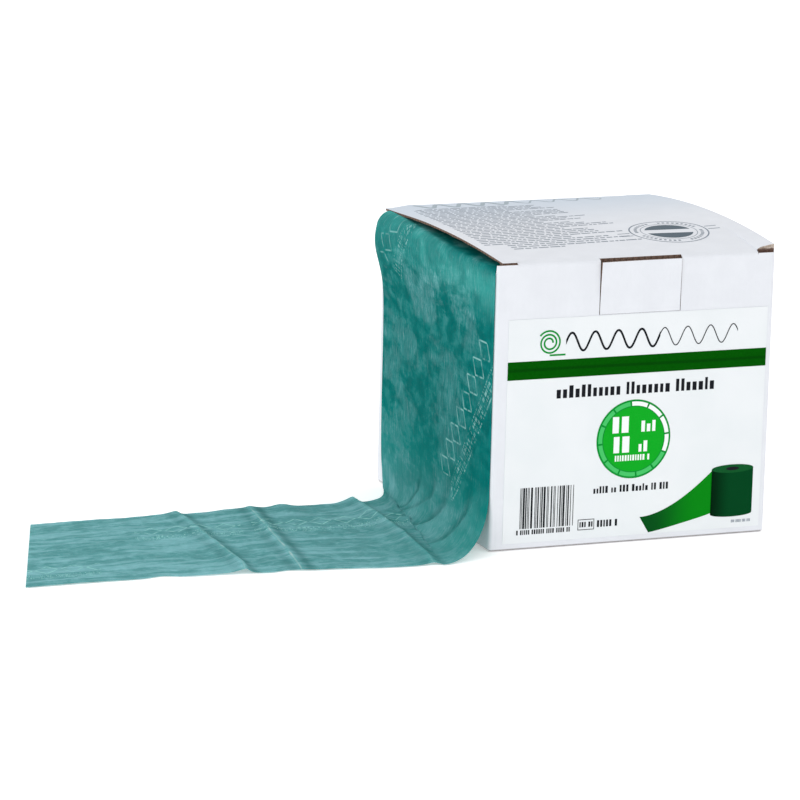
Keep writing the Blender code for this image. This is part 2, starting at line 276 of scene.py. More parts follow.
class Finish:
    """A procedural material: a Principled shader and short ways to put nodes in front of it."""

    def __init__(self, name):
        self.material = bpy.data.materials.new(name)
        self.material.use_nodes = True
        self.tree = self.material.node_tree
        self.shader = self.tree.nodes["Principled BSDF"]

    def add(self, kind, **settings):
        made = self.tree.nodes.new(kind)
        for key, value in settings.items():
            setattr(made, key, value)
        return made

    def link(self, source, place):
        self.tree.links.new(source.source if isinstance(source, Value) else source, place)

    def place(self):
        """The three coordinates of a point in the model's frame at rest, in metres."""
        split = self.add("ShaderNodeSeparateXYZ")
        self.link(self.add("ShaderNodeTexCoord").outputs["Object"], split.inputs[0])
        return tuple(Value(self.tree, out) for out in split.outputs)

    def strip(self):
        """How far a point is along and across the band, in metres, from its texture map."""
        split = self.add("ShaderNodeSeparateXYZ")
        self.link(self.add("ShaderNodeUVMap", uv_map="band").outputs["UV"], split.inputs[0])
        along, across, _ = (Value(self.tree, out) for out in split.outputs)
        return along * STRIP_LENGTH, across * BAND

    def noise(self, place, scale, detail, roughness=0.55, distortion=0.0):
        """Noise over two or three coordinates, each a Value or a number."""
        vector, made = self.add("ShaderNodeCombineXYZ"), self.add("ShaderNodeTexNoise")
        for value, socket in zip(place, vector.inputs):
            if isinstance(value, Value):
                self.link(value, socket)
            else:
                socket.default_value = value
        self.link(vector.outputs[0], made.inputs["Vector"])
        settings = {"Scale": scale, "Detail": detail, "Roughness": roughness, "Distortion": distortion}
        for key, value in settings.items():
            made.inputs[key].default_value = value
        return Value(self.tree, made.outputs["Fac"])

    def grain(self, *settings):
        """Noise over the model's own coordinates."""
        return self.noise(self.place(), *settings)

    def blend(self, share, first, second):
        """A colour between two, each a linear colour or the result of another blend."""
        made = self.add("ShaderNodeMix", data_type="RGBA")
        self.link(share, made.inputs[0])
        for colour, place in ((first, made.inputs[6]), (second, made.inputs[7])):
            if isinstance(colour, tuple):
                place.default_value = (*colour, 1.0)
            else:
                self.link(colour, place)
        return made.outputs[2]

    def layers(self, colour, *layers):
        """A colour under others, each given as the share of it that shows and the colour."""
        for share, over in layers:
            colour = self.blend(share, colour, over)
        return colour

    def colour(self, source):
        self.link(source, self.shader.inputs["Base Color"])

    def roughness(self, value, low, high):
        self.link(value * (high - low) + low, self.shader.inputs["Roughness"])

    def bump(self, height, distance, strength):
        made = self.add("ShaderNodeBump")
        made.inputs["Strength"].default_value = strength
        made.inputs["Distance"].default_value = distance
        self.link(height, made.inputs["Height"])
        self.link(made.outputs["Normal"], self.shader.inputs["Normal"])

    def constant(self, **values):
        for key, value in values.items():
            self.shader.inputs[key.replace("_", " ")].default_value = value

    def done(self, colour, roughness, bump, **values):
        """The material. roughness is (value, low, high) and bump is (height, distance, strength)."""
        self.colour(colour)
        self.roughness(*roughness)
        self.bump(*bump)
        self.constant(**values)
        return self.material


def flutes(x, y, shift=0.0):
    """The washboard of the board's flutes, from -1 to 1."""
    return ((x + y + shift) * (2 * math.pi / FLUTE)).sine()


def white_board():
    """Clay-coated white liner: faint mottling, fine fibres, and the flutes just showing through it, with
    painted shade towards the lid's back and a painted contact shadow along its bottom edge.
    """
    finish = Finish("white_board")
    x, y, z = finish.place()
    mottle, scuff = finish.grain(90.0, 4.0), finish.grain(900.0, 3.0)
    white = finish.layers(
        finish.blend(mottle.ramp(0.3, 0.75), srgb(226, 228, 233), srgb(230, 232, 237)),
        (scuff.ramp(0.66, 0.80) * 0.25, srgb(218, 220, 226)),
        # painted shade: the lid's top turns cooler and greyer towards its back, where less light falls
        (y.ramp(-0.02, 0.07) * z.ramp(HEIGHT - 0.001, HEIGHT + 0.001) * 0.65, srgb(194, 208, 222)),
        # painted contact shadow: the board darkens to brown-grey in its lowest millimetre, next to the floor
        (z.ramp(0.0011, 0.0003) * 0.75, srgb(96, 84, 78)),
    )
    relief = flutes(x, y) * 0.35 + scuff * 0.5 + mottle * 0.4
    return finish.done(white, (mottle, 0.42, 0.58), (relief, 0.00006, 0.5), Specular_IOR_Level=0.12)


def kraft_board():
    """Brown inner liner with fibres and the washboard of the flutes."""
    finish = Finish("kraft_board")
    x, y, z = finish.place()
    fibre = finish.noise((x * 0.6, y * 0.6, z * 3.0), 700.0, 5.0, 0.7)
    brown = finish.blend(finish.grain(60.0, 3.0).ramp(0.3, 0.7), srgb(142, 112, 84), srgb(164, 133, 102))
    brown = finish.blend(fibre.ramp(0.5, 0.75) * 0.6, brown, srgb(190, 162, 130))
    return finish.done(brown, (fibre, 0.78, 0.95), (flutes(x, y) * 0.6 + fibre, 0.00012, 0.7))


def raw_edge():
    """The cut edge of corrugated board: brown liners with painted shade in the flutes' hollows between them.
    """
    finish = Finish("raw_edge")
    x, y, _ = finish.place()
    fray = finish.grain(1500.0, 4.0, 0.7)
    wave = flutes(x, y, fray * 0.0006)
    pulp = finish.blend(fray.ramp(0.3, 0.7), srgb(100, 76, 64), srgb(136, 110, 94))
    # painted shade: dark brown where the flutes' hollows sink into the edge
    pulp = finish.blend(wave.ramp(0.0, 0.9) * 0.45, pulp, srgb(62, 44, 36))
    return finish.done(pulp, (fray, 0.8, 0.98), (fray + wave * -0.8, 0.0003, 0.9))


def torn_edge():
    """Crushed, frayed paper where the board is torn: pale fibres, with painted shade in its hollows and
    towards its bottom.
    """
    finish = Finish("torn_edge")
    z = finish.place()[2]
    lump, fray = finish.grain(600.0, 4.0, 0.7, 1.0), finish.grain(2400.0, 3.0, 0.7)
    tan = finish.layers(
        finish.blend(fray.ramp(0.3, 0.7), srgb(196, 176, 158), srgb(238, 228, 216)),
        # painted shade: dark brown towards the bottom of the torn corner
        ((z + (lump - 0.5) * 0.002).ramp(HEIGHT + 0.0016, HEIGHT + 0.0004), srgb(84, 60, 52)),
        # painted shade: brown in the hollows of its lumps
        (lump.ramp(0.60, 0.46) * 0.5, srgb(118, 92, 78)),
    )
    return finish.done(tan, (fray, 0.85, 0.98), (lump + fray * 0.4, 0.0006, 1.0))


def label_paper():
    """Smooth coated sticker paper, a little whiter and glossier than the board."""
    finish = Finish("label_paper")
    grain, cloud = finish.grain(1200.0, 3.0), finish.grain(40.0, 2.0)
    paper = finish.blend(cloud.ramp(0.3, 0.7), srgb(230, 234, 236), srgb(234, 237, 239))
    relief = grain + cloud * 0.6
    return finish.done(paper, (cloud, 0.28, 0.36), (relief, 0.00002, 0.4), Specular_IOR_Level=0.12)


def inked(finish, colour, mottle, low, high):
    """A finish as printed ink, between two roughnesses."""
    return finish.done(colour, (mottle, low, high), (mottle, 0.00001, 0.3), Specular_IOR_Level=INK_GLOSS)


def ink(name, colour, second=None):
    """Printed ink with a trace of the press's mottle in it."""
    finish = Finish(name)
    mottle = finish.grain(2600.0, 2.0)
    light = second or tuple(c * 0.92 + 0.012 for c in colour)
    return inked(finish, finish.blend(mottle.ramp(0.3, 0.75) * 0.6, colour, light), mottle, 0.29, 0.42)


def stripe_ink():
    """The dark green bar, with a slightly darker line along its middle."""
    finish = Finish("stripe_ink")
    x, y, z = finish.place()
    mottle = finish.noise((x, y, z * 3.0), 900.0, 3.0)
    middle = abs(z - STRIPE_MIDDLE + (x * 40.0).sine() * 0.0002).ramp(0.0011, 0.0003)
    green = finish.blend(mottle.ramp(0.3, 0.7), srgb(0, 76, 0), srgb(2, 84, 2))
    return inked(finish, finish.blend(middle * 0.7, green, srgb(0, 62, 2)), mottle, 0.25, 0.34)


def picture_ink(name, low_x, high_x, dark, light):
    """The printed picture's green, shaded across X as the roll in it is."""
    finish = Finish(name)
    mottle = finish.grain(1500.0, 3.0)
    shade = (finish.place()[0] + (mottle - 0.5) * 0.0012).ramp(low_x, high_x)
    return inked(finish, finish.blend(shade, dark, light), mottle, 0.26, 0.36)


def printed_marks(finish, along, across):
    """Faint generic ornament on the band: blocks of a chain of lozenges over two rows of fine dashes."""
    total = None
    for at_along, at_across, degrees, length, strength in BAND_PRINTS:
        turn = math.radians(degrees)
        a, b = along - at_along, across - at_across
        u = a * math.cos(turn) + b * math.sin(turn)
        v = b * math.cos(turn) - a * math.sin(turn)
        inside = abs(u).under(length / 2)
        cell = abs((u * (1 / 0.0115)).fraction() - 0.5)
        lozenge = abs(cell * 2.0 + abs(v) * (1 / 0.0080) - 0.86).under(0.085)
        row = abs(v).under(0.0068)
        fine = abs((v + 0.0135) * (1 / 0.0042)).under(1.0)
        letters = finish.noise((u, (v * (1 / 0.0028)).floor() * 0.05), 1150.0, 1.0).over(0.53)
        gaps = abs(((v + 0.0135) * (1 / 0.0028)).fraction() - 0.5).under(0.33)
        mark = (lozenge * row).most(letters * gaps * fine) * inside * strength
        total = mark if total is None else total.most(mark)
    worn_and_shaded = finish.noise((along * 0.5, across), 260.0, 3.0)
    return total * worn_and_shaded.ramp(0.30, 0.62)


def latex():
    """Thin green rubber sheet: teal, clouded and streaked lengthwise with talc, lit through a little, with a
    painted highlight on its shoulder and painted highlight and shade along its crests and folds.
    """
    finish = Finish("green_latex")
    along, across = finish.strip()
    on_floor = along.ramp(FLOOR_AT - 0.045, FLOOR_AT + 0.03)
    # painted highlight: paler, brighter teal where the band turns over the wall's top edge
    painted_shoulder_highlight = along.ramp(0.074, 0.082) * along.ramp(0.106, 0.084)
    hanging = finish.noise((along * 1.7, across * 0.9), 36.0, 6.0, 0.60, 0.35)
    lying = finish.noise((along * 0.26, across * 1.5), 64.0, 6.0, 0.66, 0.4)
    patch = finish.noise((along * 1.2, across), 120.0, 5.0, 0.64, 0.3)
    weave = finish.noise((along * 0.30 + across * 0.22, across - along * 0.05), 620.0, 4.0, 0.7)
    scratch = finish.noise((along * 0.09 + across * 0.05, across + patch * 0.005), 1300.0, 3.0, 0.65)
    speck = finish.noise((along * 0.6, across), 2400.0, 3.0, 0.7)
    edge = (across.ramp(0.0020, 0.0320) * 0.75 + 0.25).most(on_floor * across.ramp(0.0005, 0.0060))
    cloud = hanging + (lying - hanging) * on_floor
    blotch = cloud.ramp(0.46, 0.60) * 0.65 + patch.ramp(0.46, 0.64) * 0.35
    bare = along.ramp(0.105, 0.130) * along.ramp(0.205, 0.175)
    at_foot = along.ramp(0.165, 0.195) * along.ramp(0.262, 0.232)
    streaks = weave.ramp(0.30, 0.62) * 0.55 + 0.36
    talc = blotch * streaks * edge * (bare * -0.38 + 1.0) * (at_foot * -0.22 + 1.0)
    talc = talc.most(on_floor * (blotch * 0.60 + weave.ramp(0.34, 0.60) * 0.46 + 0.12))
    # painted highlight: more talc on the shoulder
    talc = talc.most(painted_shoulder_highlight * (cloud * 0.5))
    deep = finish.blend(patch.ramp(0.35, 0.65), srgb(0, 116, 114), srgb(2, 138, 134))
    deep = finish.blend(at_foot * 0.55, deep, srgb(0, 152, 146))
    dusty = finish.blend(scratch.ramp(0.40, 0.62), srgb(90, 166, 168), srgb(142, 202, 206))
    # rubbed talc and painted highlight on the crests where positive, painted shade where negative
    worn_and_shaded = Value(finish.tree, finish.add("ShaderNodeAttribute", attribute_name="worn_and_shaded").outputs["Fac"])
    rubbed_and_highlit = finish.blend(worn_and_shaded.ramp(0.20, 0.70), srgb(104, 190, 188), srgb(212, 238, 238))
    rubber = finish.layers(
        finish.blend(talc, deep, dusty),
        (on_floor * (blotch * 0.50 + 0.26), srgb(166, 222, 232)),
        # painted highlight: bright teal on the shoulder
        (painted_shoulder_highlight * (cloud.ramp(0.40, 0.60) * 0.30 + 0.12), srgb(84, 208, 198)),
        (scratch.ramp(0.58, 0.72) * (talc * 0.5 + 0.10), srgb(172, 226, 226)),
        (speck.ramp(0.60, 0.78) * (talc * 0.3 + 0.10), srgb(160, 214, 214)),
        # rubbed talc and painted highlight on the crests
        (worn_and_shaded * (speck * 0.5 + 0.75), rubbed_and_highlit),
        # painted shade: deep teal in the grooves and beside the crests
        (worn_and_shaded * -1.0, srgb(0, 86, 86)),
        (printed_marks(finish, along, across), srgb(172, 236, 232)),
    )
    relief = weave * 0.35 + scratch * 0.25 + speck * 0.3 + patch
    finish.done(rubber, (talc, 0.40, 0.66), (relief, 0.00010, 0.5), Specular_IOR_Level=0.004)
    glow = finish.add("ShaderNodeBsdfTranslucent")
    glow.inputs["Color"].default_value = (*srgb(0, 190, 172), 1.0)
    both = finish.add("ShaderNodeMixShader")
    both.inputs[0].default_value = 0.32
    finish.link(finish.shader.outputs[0], both.inputs[1])
    finish.link(glow.outputs[0], both.inputs[2])
    finish.link(both.outputs[0], finish.tree.nodes["Material Output"].inputs["Surface"])
    return finish.material


def wound_latex():
    """The roll's rubber: talcum clouds on its skin and the edges of its turns as rings on its ends."""
    finish = Finish("wound_latex")
    x, y, z = finish.place()
    height = z - ROLL_Z
    radius = (x * x + height * height).root()
    rings = finish.noise((radius, 0.0, 0.0), 2600.0, 4.0, 0.7)
    cloud = finish.noise((x, y * 0.4, z), 60.0, 4.0, 0.6, 0.5)
    green = finish.blend(cloud.ramp(0.35, 0.7), srgb(0, 92, 86), srgb(62, 140, 134))
    green = finish.blend(rings.ramp(0.45, 0.75) * 0.7, green, srgb(0, 62, 58))
    return finish.done(green, (cloud, 0.42, 0.6), (rings * 1.2 + cloud * 0.5, 0.0002, 0.7))


def core_pulp():
    """Grey-brown spiral-wound paper tube, with the slanting seams of its plies."""
    finish = Finish("core_pulp")
    x, y, z = finish.place()
    angle = (z - ROLL_Z).arc_tangent(x)
    seam = abs((y * (1 / 0.05) + angle * (1 / (2 * math.pi))).fraction() - 0.5).under(0.008)
    fibre = finish.grain(1100.0, 5.0, 0.7)
    pulp = finish.blend(fibre.ramp(0.3, 0.7), srgb(146, 124, 98), srgb(176, 154, 126))
    pulp = finish.blend(seam * 0.8, pulp, srgb(92, 74, 58))
    return finish.done(pulp, (fibre, 0.82, 0.96), (fibre - seam * 0.8, 0.0002, 0.7))


def studio_white():
    """The floor, as white as the room, which it fades into."""
    finish = Finish("studio_white")
    finish.colour(finish.blend(finish.grain(2.0, 2.0), (0.93, 0.93, 0.93), (0.96, 0.96, 0.96)))
    finish.constant(Roughness=0.9, Specular_IOR_Level=0.0, Emission_Color=(1.0, 1.0, 1.0, 1.0))
    finish.constant(Emission_Strength=FLOOR_GLOW)
    return finish.material


# ------------------------------------------------------------------------------------------ shapes


def linked(name, data):
    """A new object in the scene."""
    made = bpy.data.objects.new(name, data)
    bpy.context.scene.collection.objects.link(made)
    return made


def finished(name, mesh, materials, body=None, sharp=35.0):
    """Links a mesh as a piece with its materials, shaded smooth except at its sharp edges."""
    for material in materials:
        mesh.materials.append(material)
    mesh.validate()
    mesh.shade_smooth()
    mesh.set_sharp_from_angle(angle=math.radians(sharp))
    piece = linked(name, mesh)
    if body:
        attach(piece, body)
    return piece


def slab(name, outer, inner, materials, body=None, uv=None, sharp=35.0):
    """A closed sheet between two grids of points of the same shape.

    Its outer face, inner face and rim take the first, second and third material, as far as there are any.
    """
    outer, inner = np.asarray(outer, float), np.asarray(inner, float)
    rows, columns = outer.shape[:2]
    index = np.arange(rows * columns).reshape(rows, columns)
    under = index + rows * columns
    top = np.stack([index[:-1, :-1], index[1:, :-1], index[1:, 1:], index[:-1, 1:]], -1).reshape(-1, 4)
    low = np.stack([under[:-1, :-1], under[:-1, 1:], under[1:, 1:], under[1:, :-1]], -1).reshape(-1, 4)
    ring = [*index[0, :-1], *index[:-1, -1], *index[-1, :0:-1], *index[:0:-1, 0]]
    rim = [(a, b, b + rows * columns, a + rows * columns) for a, b in zip(ring, ring[1:] + ring[:1])]
    faces = [*top.tolist(), *low.tolist(), *[[int(i) for i in face] for face in rim]]
    middle = (rows // 2, columns // 2)
    side_u = outer[middle] - outer[middle[0] - 1, middle[1]]
    side_v = outer[middle] - outer[middle[0], middle[1] - 1]
    if np.dot(np.cross(side_u, side_v), outer[middle] - inner[middle]) < 0:
        faces = [face[::-1] for face in faces]
    mesh = bpy.data.meshes.new(name)
    points = np.concatenate([outer.reshape(-1, 3), inner.reshape(-1, 3)])
    mesh.from_pydata(points.tolist(), [], faces)
    kinds = [min(k, len(materials) - 1) for k in [0] * len(top) + [1] * len(low) + [2] * len(rim)]
    if uv is not None:
        both = np.concatenate([uv.reshape(-1, 2)] * 2)
        corners = np.zeros(len(mesh.loops), np.int32)
        mesh.loops.foreach_get("vertex_index", corners)
        layer = mesh.uv_layers.new(name="band")
        layer.data.foreach_set("uv", both[corners].astype(np.float32).ravel())
    for material in materials:
        mesh.materials.append(material)
    mesh.polygons.foreach_set("material_index", kinds)
    return finished(name, mesh, [], body, sharp)


def turned(name, profile, segments, materials, body):
    """A closed profile of (radius, y) turned round the roll's axis."""
    points, faces = [], []
    count = len(profile)
    for i in range(segments):
        angle = 2 * math.pi * i / segments
        points += [(r * math.cos(angle), y, ROLL_Z + r * math.sin(angle)) for r, y in profile]
        start, after = i * count, (i + 1) % segments * count
        for k in range(count):
            j = (k + 1) % count
            faces.append((start + k, start + j, after + j, after + k))
    mesh = bpy.data.meshes.new(name)
    mesh.from_pydata(points, [], faces)
    return finished(name, mesh, materials, body)


def label_place(a, b, height):
    """A point of the front label at (a, b) along X and Z, height above its face."""
    return a, LABEL_FACE - height, b


def lid_place(a, b, height):
    """A point of the lid at (a, b) along X and Y, height above its face."""
    return a, b, HEIGHT + lid_rise(a, b) + height


def stamp(name, shapes, place, material, body, lift=PRINT_LIFT):
    """A thin film of ink for each flat outline, laid on the surface that place() describes."""
    points, faces = [], []
    for shape in shapes:
        turning = sum(a[0] * b[1] - b[0] * a[1] for a, b in zip(shape, shape[1:] + shape[:1]))
        outline = shape if turning > 0 else shape[::-1]
        start, count = len(points), len(outline)
        points += [place(a, b, lift + PRINT_FILM) for a, b in outline]
        points += [place(a, b, lift) for a, b in outline]
        faces.append(list(range(start, start + count)))
        faces.append(list(range(start + 2 * count - 1, start + count - 1, -1)))
        for k in range(count):
            j = (k + 1) % count
            faces.append([start + j, start + k, start + count + k, start + count + j])
    mesh = bpy.data.meshes.new(name)
    mesh.from_pydata(points, [], faces)
    return finished(name, mesh, [material], body)


def on_label(name, shapes, material, lift=PRINT_LIFT):
    """Ink on the front label."""
    stamp(name, shapes, label_place, material, "carton", lift)


def on_lid(name, shapes, material):
    """Ink on the lid."""
    stamp(name, shapes, lid_place, material, "lid")


def rectangle(left, low, right, high):
    """An outline from its lower left corner round to the left again."""
    return [(left, low), (right, low), (right, high), (left, high)]


def outline_of(left, low, right, high, stroke):
    """A rectangle's outline as four bars."""
    return [
        rectangle(left, low, right, low + stroke),
        rectangle(left, high - stroke, right, high),
        rectangle(left, low + stroke, left + stroke, high - stroke),
        rectangle(right - stroke, low + stroke, right, high - stroke),
    ]


def ribbon(at, places, low, high):
    """Four-sided pieces side by side between two lines, at(place, low) and at(place, high)."""
    return [[at(a, low), at(b, low), at(b, high), at(a, high)] for a, b in zip(places, places[1:])]


def arc_band(centre, inner, outer, start, end, steps):
    """Part of a ring, from one angle to another in degrees, as a row of four-sided pieces."""
    def at(angle, radius):
        return centre[0] + radius * math.cos(angle), centre[1] + radius * math.sin(angle)

    return ribbon(at, spaced(math.radians(start), math.radians(end), steps), inner, outer)


def oval(centre, wide, tall, steps):
    """The outline of an ellipse with these half sizes."""
    angles = [2 * math.pi * i / steps for i in range(steps)]
    return [(centre[0] + wide * math.cos(a), centre[1] + tall * math.sin(a)) for a in angles]


def disc_part(centre, radius, low, high, tilt, strips):
    """The part of a disc between two parallel chords, tilted, as thin strips across it."""
    cos, sin = math.cos(math.radians(tilt)), math.sin(math.radians(tilt))
    edges = [(b, math.sqrt(max(radius**2 - b * b, 0.0))) for b in spaced(low, high, strips)]
    shapes = []
    for (a, wide_a), (b, wide_b) in zip(edges, edges[1:]):
        flat = [(-wide_a, a), (wide_a, a), (wide_b, b), (-wide_b, b)]
        shapes.append([(centre[0] + p * cos - q * sin, centre[1] + p * sin + q * cos) for p, q in flat])
    return shapes


def blocks(left, right, base, height, rng, tall, group, wide=0.30):
    """Stands for a line of writing: narrow solid blocks in groups, a share of them tall."""
    shapes = []
    x = left
    while x < right:
        for _ in range(rng.randint(*group)):
            width = height * wide * rng.uniform(0.75, 1.25)
            if x + width > right:
                return shapes
            top = base + (height if rng.random() < tall else height * 0.70)
            shapes.append(rectangle(x, base, x + width, top))
            x += width + height * 0.19
        x += height * 0.36
    return shapes


# ------------------------------------------------------------------------------------- the carton


def upright_folds():
    """Round the walls from the glue flap's free edge to the right wall's, as (x, y, normal, top) points."""
    inset = RIGHT - BOARD - CLEAR
    side = SIDE_TOP - DUST_FOLD
    glue_low, glue_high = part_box("glue_flap")

    def corner(x, y, start, tops, change=4):
        """A fold between two walls, with the second top from step number change on."""
        for i, normal in enumerate(round_fold(start, start + 90)):
            yield x + CORNER * normal[0], y + CORNER * normal[1], normal, tops[i >= change]

    glue_y = (glue_low.y, mix(glue_low.y, BACK, 0.5), BACK - CORNER - STEP)
    points = [(inset, y, (1, 0), glue_high.z) for y in glue_y]
    points += corner(inset - CORNER, BACK - CORNER, 0, (side, side))
    points += [(x, BACK, (0, 1), BACK_TOP) for x in spaced(inset - CORNER - STEP, LID_LEFT, 12)]
    points += [(x, BACK, (0, 1), side) for x in (LID_LEFT - STEP, LEFT + CORNER + STEP)]
    points += corner(LEFT + CORNER, BACK - CORNER, 90, (side, side))
    points += [(LEFT, y, (-1, 0), side) for y in spaced(BACK - CORNER - STEP, FRONT + CORNER + STEP, 12)]
    points += corner(LEFT + CORNER, FRONT + CORNER, 180, (side, HEIGHT - SLIT_SHOWS), 2)
    points += [(x, FRONT, (0, -1), top) for x, top in front_tops()]
    points += corner(RIGHT - CORNER, FRONT + CORNER, 270, (HEIGHT - SLIT_SHOWS, side))
    points += [(RIGHT, y, (1, 0), side) for y in spaced(FRONT + CORNER + STEP, BACK, 12)]
    return points


def front_tops():
    """The front wall's X and top from left to right: raw where the crease is cut free, low at the tab."""
    raw, fold = HEIGHT - SLIT_SHOWS, HEIGHT - CREASE
    stretches = [
        (LEFT + CORNER + STEP, SLIT_LEFT, raw, 3),
        (SLIT_LEFT + STEP, TAB_LEFT, fold, 12),
        (TAB_LEFT + STEP, TAB_RIGHT, TAB_BOTTOM, 12),
        (TAB_RIGHT + STEP, SLIT_RIGHT, fold, 12),
        (SLIT_RIGHT + STEP, RIGHT - CORNER - STEP, raw, 3),
    ]
    return [(x, top) for a, b, top, steps in stretches for x in spaced(a, b, steps)]


def carton_sleeve():
    """The four walls as one folded board, turned in at the bottom, and the glue flap in the right wall."""
    folds = upright_folds()

    def column(x, y, normal, top, radius):
        foot = [(FOOT_FOLD - radius * cos, FOOT_FOLD + radius * sin) for cos, sin in round_fold(-90, 0)]
        wall = [(FOOT_FOLD - radius, z) for z in spaced(FOOT_FOLD, top, 24)[1:]]
        return [(x - normal[0] * inward, y - normal[1] * inward, z) for inward, z in foot + wall]

    outer = [column(*fold, FOOT_FOLD) for fold in folds]
    inner = [column(*fold, FOOT_FOLD - BOARD) for fold in folds]
    sleeve = slab("carton_sleeve", outer, inner, [WHITE, KRAFT, RAW], "carton")
    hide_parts("front_panel", "back_panel", "left_panel", "right_panel", "glue_flap")


def grid(rows, columns, point):
    """point(u, v) for u and v from 0 to 1 over a grid."""
    return [[point(i / rows, j / columns) for j in range(columns + 1)] for i in range(rows + 1)]


def carton_base():
    """The bottom's outer flap, set inside the walls' folds."""
    inset = FOOT_FOLD + CLEAR
    near, far = (LEFT + inset, FRONT + inset), (RIGHT - inset - BOARD, BACK - inset)

    def at(z):
        return lambda u, v: (mix(near[0], far[0], u), mix(near[1], far[1], v), z)

    base = slab("base_board", grid(12, 12, at(0.0)), grid(12, 12, at(BOARD)), [WHITE, KRAFT, RAW], "carton")
    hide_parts("bottom_panel")


def lid_columns():
    """The lid's X from left to right, and whether it is folded down to the front wall there."""
    stretches = [
        (LID_LEFT, SLIT_LEFT, False, 4),
        (SLIT_LEFT + STEP, TAB_LEFT, True, 14),
        (TAB_LEFT + STEP, TAB_RIGHT, False, 14),
        (TAB_RIGHT + STEP, SLIT_RIGHT, True, 14),
        (SLIT_RIGHT + STEP, LID_RIGHT, False, 8),
    ]
    return [(x, folded) for a, b, folded, steps in stretches for x in spaced(a, b, steps)]


def lid_column(x, folded):
    """One row of the lid's points from front to back, on its outer and on its inner face."""
    steps, outer, inner = 56, [], []
    start = FRONT + (CREASE if folded else FREE_FRONT)
    last = LID_BACK - CREASE if TUCK_LEFT <= x <= TUCK_RIGHT else LID_BACK
    for i, (cos, sin) in enumerate(round_fold(0, 90)):
        if folded:
            outer.append((x, FRONT + CREASE * (1 - cos), HEIGHT - CREASE * (1 - sin)))
            inner.append((x, FRONT + BOARD, HEIGHT - BOARD - GAP * (1 - i / FOLD_STEPS)))
        else:
            y = mix(FRONT + BOARD + GAP, start, i / FOLD_STEPS)
            outer.append((x, y, HEIGHT + lid_rise(x, y)))
            inner.append((x, y, HEIGHT + lid_rise(x, y) - BOARD - torn(x, y)))
    for i in range(1, steps + 1):
        y = mix(start, last, i / steps)
        settle = ease((y - FRONT) / 0.004) if folded else 1.0
        z = HEIGHT + lid_rise(x, y) * settle
        place = lid_skew(x, y)
        outer.append((place, y, z))
        inner.append((place, max(y, FRONT + BOARD + 0.0001 * i), z - BOARD + crushed(x, y) - torn(x, y)))
    return outer, inner


def crushed(x, y):
    """How much thinner the lid is along its free left edge."""
    ragged = 0.8 + 0.4 * uneven(y * 120.0, 0.0, 5.0)
    return BOARD * 0.45 * ragged * ease((LID_LEFT + 0.004 - x) / 0.003)


def torn(x, y):
    """How far the crushed liner hangs below the lid at its torn right corner."""
    if x <= SLIT_RIGHT:
        return 0.0
    ragged = 0.7 + 0.5 * uneven(x * 700.0, y * 500.0, 0.0)
    gap = lid_rise(x, y) + SLIT_SHOWS - BOARD + CLEAR
    return max(gap, 0.0006 * ragged) * ease((FRONT + TEAR - y) / 0.008)


def lid_board():
    """The bowed lid, with its soft fold down to the front wall between the cuts in its crease."""
    columns = [lid_column(x, folded) for x, folded in lid_columns()]
    lid = slab("lid_board", [c[0] for c in columns], [c[1] for c in columns], [WHITE, KRAFT, RAW, TORN])
    for face in lid.data.polygons:
        if face.material_index == 2 and face.center.x > SLIT_RIGHT and face.center.y < FRONT + TEAR:
            face.material_index = 3
    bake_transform(lid)
    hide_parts("lid_panel")


def lid_tuck():
    """The flap behind the back wall, with its fold at the lid's back edge."""
    steps = 12
    middle, half = (TUCK_LEFT + TUCK_RIGHT) / 2, (TUCK_RIGHT - TUCK_LEFT) / 2

    def column(x, radius, inset):
        y, z = LID_BACK - inset, HEIGHT + lid_rise(x, LID_BACK) - inset
        points = [(x, y + radius * cos, z + radius * sin) for cos, sin in round_fold(90, 0)]
        _, y, z = points[-1]
        side = (x - middle) / half
        for i in range(1, steps + 1):
            down = i / steps
            taper = side * abs(side) ** 6 * TUCK_TAPER * down**3
            points.append((x - taper, y - TUCK_LEAN * down, mix(z, TUCK_BOTTOM, down)))
        return points

    columns = spaced(TUCK_LEFT, TUCK_RIGHT, 40)
    outer = [column(x, CREASE, CREASE) for x in columns]
    inner = [column(x, INNER_FOLD, BOARD + INNER_FOLD) for x in columns]
    tuck = slab("lid_tuck", outer, inner, [WHITE, KRAFT, RAW])
    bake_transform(tuck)
    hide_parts("lid_tuck_flap")


def dust_flap(side, node):
    """A flap folded in from a side wall's top edge, with its fold. side is -1 on the left, 1 on the right."""
    steps = 14
    low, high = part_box(node)
    wall, tip = (RIGHT, low.x) if side > 0 else (LEFT, high.x)

    def column(v, radius, inset):
        y = mix(low.y, high.y, v)
        x, z = wall - side * inset, SIDE_TOP - inset
        points = [(x + side * radius * cos, y, z + radius * sin) for cos, sin in round_fold(0, 90)]
        x, _, z = points[-1]
        for i in range(1, steps + 1):
            out = i / steps
            y = mix(low.y + DUST_TAPER * out, high.y - DUST_TAPER * out, v)
            points.append((mix(x, tip, out), y, z))
        return points

    columns = spaced(0.0, 1.0, 30)
    outer = [column(v, DUST_FOLD, DUST_FOLD) for v in columns]
    inner = [column(v, INNER_FOLD, BOARD + INNER_FOLD) for v in columns]
    flap = slab(node + "_board", outer, inner, [WHITE, KRAFT, RAW])
    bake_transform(flap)
    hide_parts(node)


